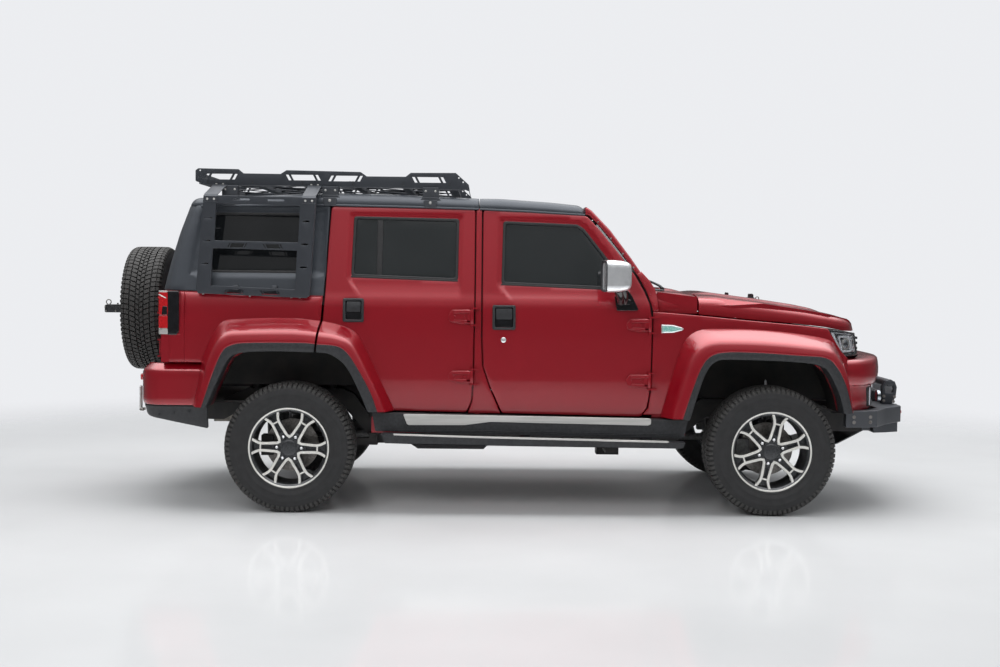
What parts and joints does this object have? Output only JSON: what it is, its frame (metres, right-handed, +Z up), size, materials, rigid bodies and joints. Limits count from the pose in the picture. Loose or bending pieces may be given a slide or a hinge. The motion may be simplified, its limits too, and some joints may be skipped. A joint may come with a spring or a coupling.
{
  "type": "off-road car",
  "caption": "Lifted five-door off-road 4x4 with opening doors, bonnet and tailgate, steering and rolling wheels, roof rack, side carriers and a tailgate spare.",
  "frame": {"origin": "middle of the bounding box at ground level, tyres standing on Z = 0", "axes": "+X towards the front, +Y towards the left side, +Z up"},
  "size_m": [4.954, 2.15, 1.962],
  "materials": {
    "body_paint": "deep red metallic gloss",
    "chassis_black": "satin black",
    "underbody": "satin black",
    "tinted_glass": "dark tinted",
    "black_plastic": "grained",
    "lamp_clear": "clear",
    "grey_steel": "satin grey powder coat",
    "roof_grey": "satin dark grey",
    "rack_grey": "satin dark grey powder coat",
    "lamp_red": "gloss",
    "seat_leather": "satin",
    "cabin_plastic": "grained",
    "cast_metal": "rough",
    "exhaust_steel": "dull",
    "tank_plastic": "plain",
    "chrome_trim": "polished",
    "tyre_rubber": "matt",
    "rim_alloy": "machined silver"
  },
  "bodies": {
    "chassis": {"ladder_frame": "chassis_black", "floor_pan": "underbody", "rear_panel": "underbody", "body_sides": "body_paint", "cowl_panel": "body_paint", "windscreen_frame": "body_paint", "fixed_glass": "tinted_glass", "front_fenders": "body_paint", "grille_panel": "black_plastic", "headlamps": "lamp_clear", "front_bumper": "body_paint", "bull_bar": "grey_steel", "front_roof_panel": "roof_grey", "hardtop": "roof_grey", "roof_rack": "rack_grey", "side_carriers": "rack_grey", "arch_flares": "body_paint", "side_cladding": "black_plastic", "side_steps": "black_plastic", "rear_bumper": "body_paint", "tail_lamps": "lamp_red", "front_seats": "seat_leather", "rear_seat": "seat_leather", "dashboard": "cabin_plastic", "steering_wheel": "cabin_plastic", "powertrain": "cast_metal", "front_suspension": "chassis_black", "rear_axle": "chassis_black", "exhaust": "exhaust_steel", "fuel_tank": "tank_plastic"},
    "bonnet": {"bonnet": "body_paint"},
    "front_door_right": {"front_door_right": "body_paint", "front_glass_right": "tinted_glass", "mirror_right": "chrome_trim"},
    "front_door_left": {"front_door_left": "body_paint", "front_glass_left": "tinted_glass", "mirror_left": "chrome_trim"},
    "rear_door_right": {"rear_door_right": "body_paint", "rear_glass_right": "tinted_glass"},
    "rear_door_left": {"rear_door_left": "body_paint", "rear_glass_left": "tinted_glass"},
    "tailgate": {"tailgate": "body_paint", "spare_tyre": "tyre_rubber", "spare_rim": "rim_alloy"},
    "knuckle_right": {"knuckle_right": "cast_metal"},
    "knuckle_left": {"knuckle_left": "cast_metal"},
    "wheel_front_right": {"tyre_front_right": "tyre_rubber", "rim_front_right": "rim_alloy"},
    "wheel_front_left": {"tyre_front_left": "tyre_rubber", "rim_front_left": "rim_alloy"},
    "wheel_rear_right": {"tyre_rear_right": "tyre_rubber", "rim_rear_right": "rim_alloy"},
    "wheel_rear_left": {"tyre_rear_left": "tyre_rubber", "rim_rear_left": "rim_alloy"}
  },
  "joints": [
    {"name": "bonnet_hinge", "type": "hinge", "parent": "chassis", "child": "bonnet", "pos_m": [1.137, 0, 1.25], "axis": [0, -1, 0], "range_deg": [0, 50]},
    {"name": "front_door_right_hinge", "type": "hinge", "parent": "chassis", "child": "front_door_right", "pos_m": [0.853, -0.842, 0.92], "axis": [0, 0, 1], "range_deg": [0, 65]},
    {"name": "front_door_left_hinge", "type": "hinge", "parent": "chassis", "child": "front_door_left", "pos_m": [0.853, 0.842, 0.92], "axis": [0, 0, -1], "range_deg": [0, 65]},
    {"name": "rear_door_right_hinge", "type": "hinge", "parent": "chassis", "child": "rear_door_right", "pos_m": [-0.165, -0.842, 0.92], "axis": [0, 0, 1], "range_deg": [0, 65]},
    {"name": "rear_door_left_hinge", "type": "hinge", "parent": "chassis", "child": "rear_door_left", "pos_m": [-0.165, 0.842, 0.92], "axis": [0, 0, -1], "range_deg": [0, 65]},
    {"name": "tailgate_hinge", "type": "hinge", "parent": "chassis", "child": "tailgate", "pos_m": [-1.983, -0.637, 1], "axis": [0, 0, 1], "range_deg": [0, 90]},
    {"name": "steer_right", "type": "hinge", "parent": "chassis", "child": "knuckle_right", "pos_m": [1.547, -0.69, 0.37], "axis": [0, 0, 1], "range_deg": [-32, 32]},
    {"name": "steer_left", "type": "hinge", "parent": "chassis", "child": "knuckle_left", "pos_m": [1.547, 0.69, 0.37], "axis": [0, 0, 1], "range_deg": [-32, 32]},
    {"name": "wheel_front_right_spin", "type": "hinge", "parent": "knuckle_right", "child": "wheel_front_right", "pos_m": [1.547, -0.8, 0.37], "axis": [0, 1, 0], "continuous": true},
    {"name": "wheel_front_left_spin", "type": "hinge", "parent": "knuckle_left", "child": "wheel_front_left", "pos_m": [1.547, 0.8, 0.37], "axis": [0, 1, 0], "continuous": true},
    {"name": "wheel_rear_right_spin", "type": "hinge", "parent": "chassis", "child": "wheel_rear_right", "pos_m": [-1.198, -0.8, 0.37], "axis": [0, 1, 0], "continuous": true},
    {"name": "wheel_rear_left_spin", "type": "hinge", "parent": "chassis", "child": "wheel_rear_left", "pos_m": [-1.198, 0.8, 0.37], "axis": [0, 1, 0], "continuous": true}
  ],
  "couplings": [
    {"joint": "steer_left", "follows": "steer_right", "ratio": 1}
  ]
}
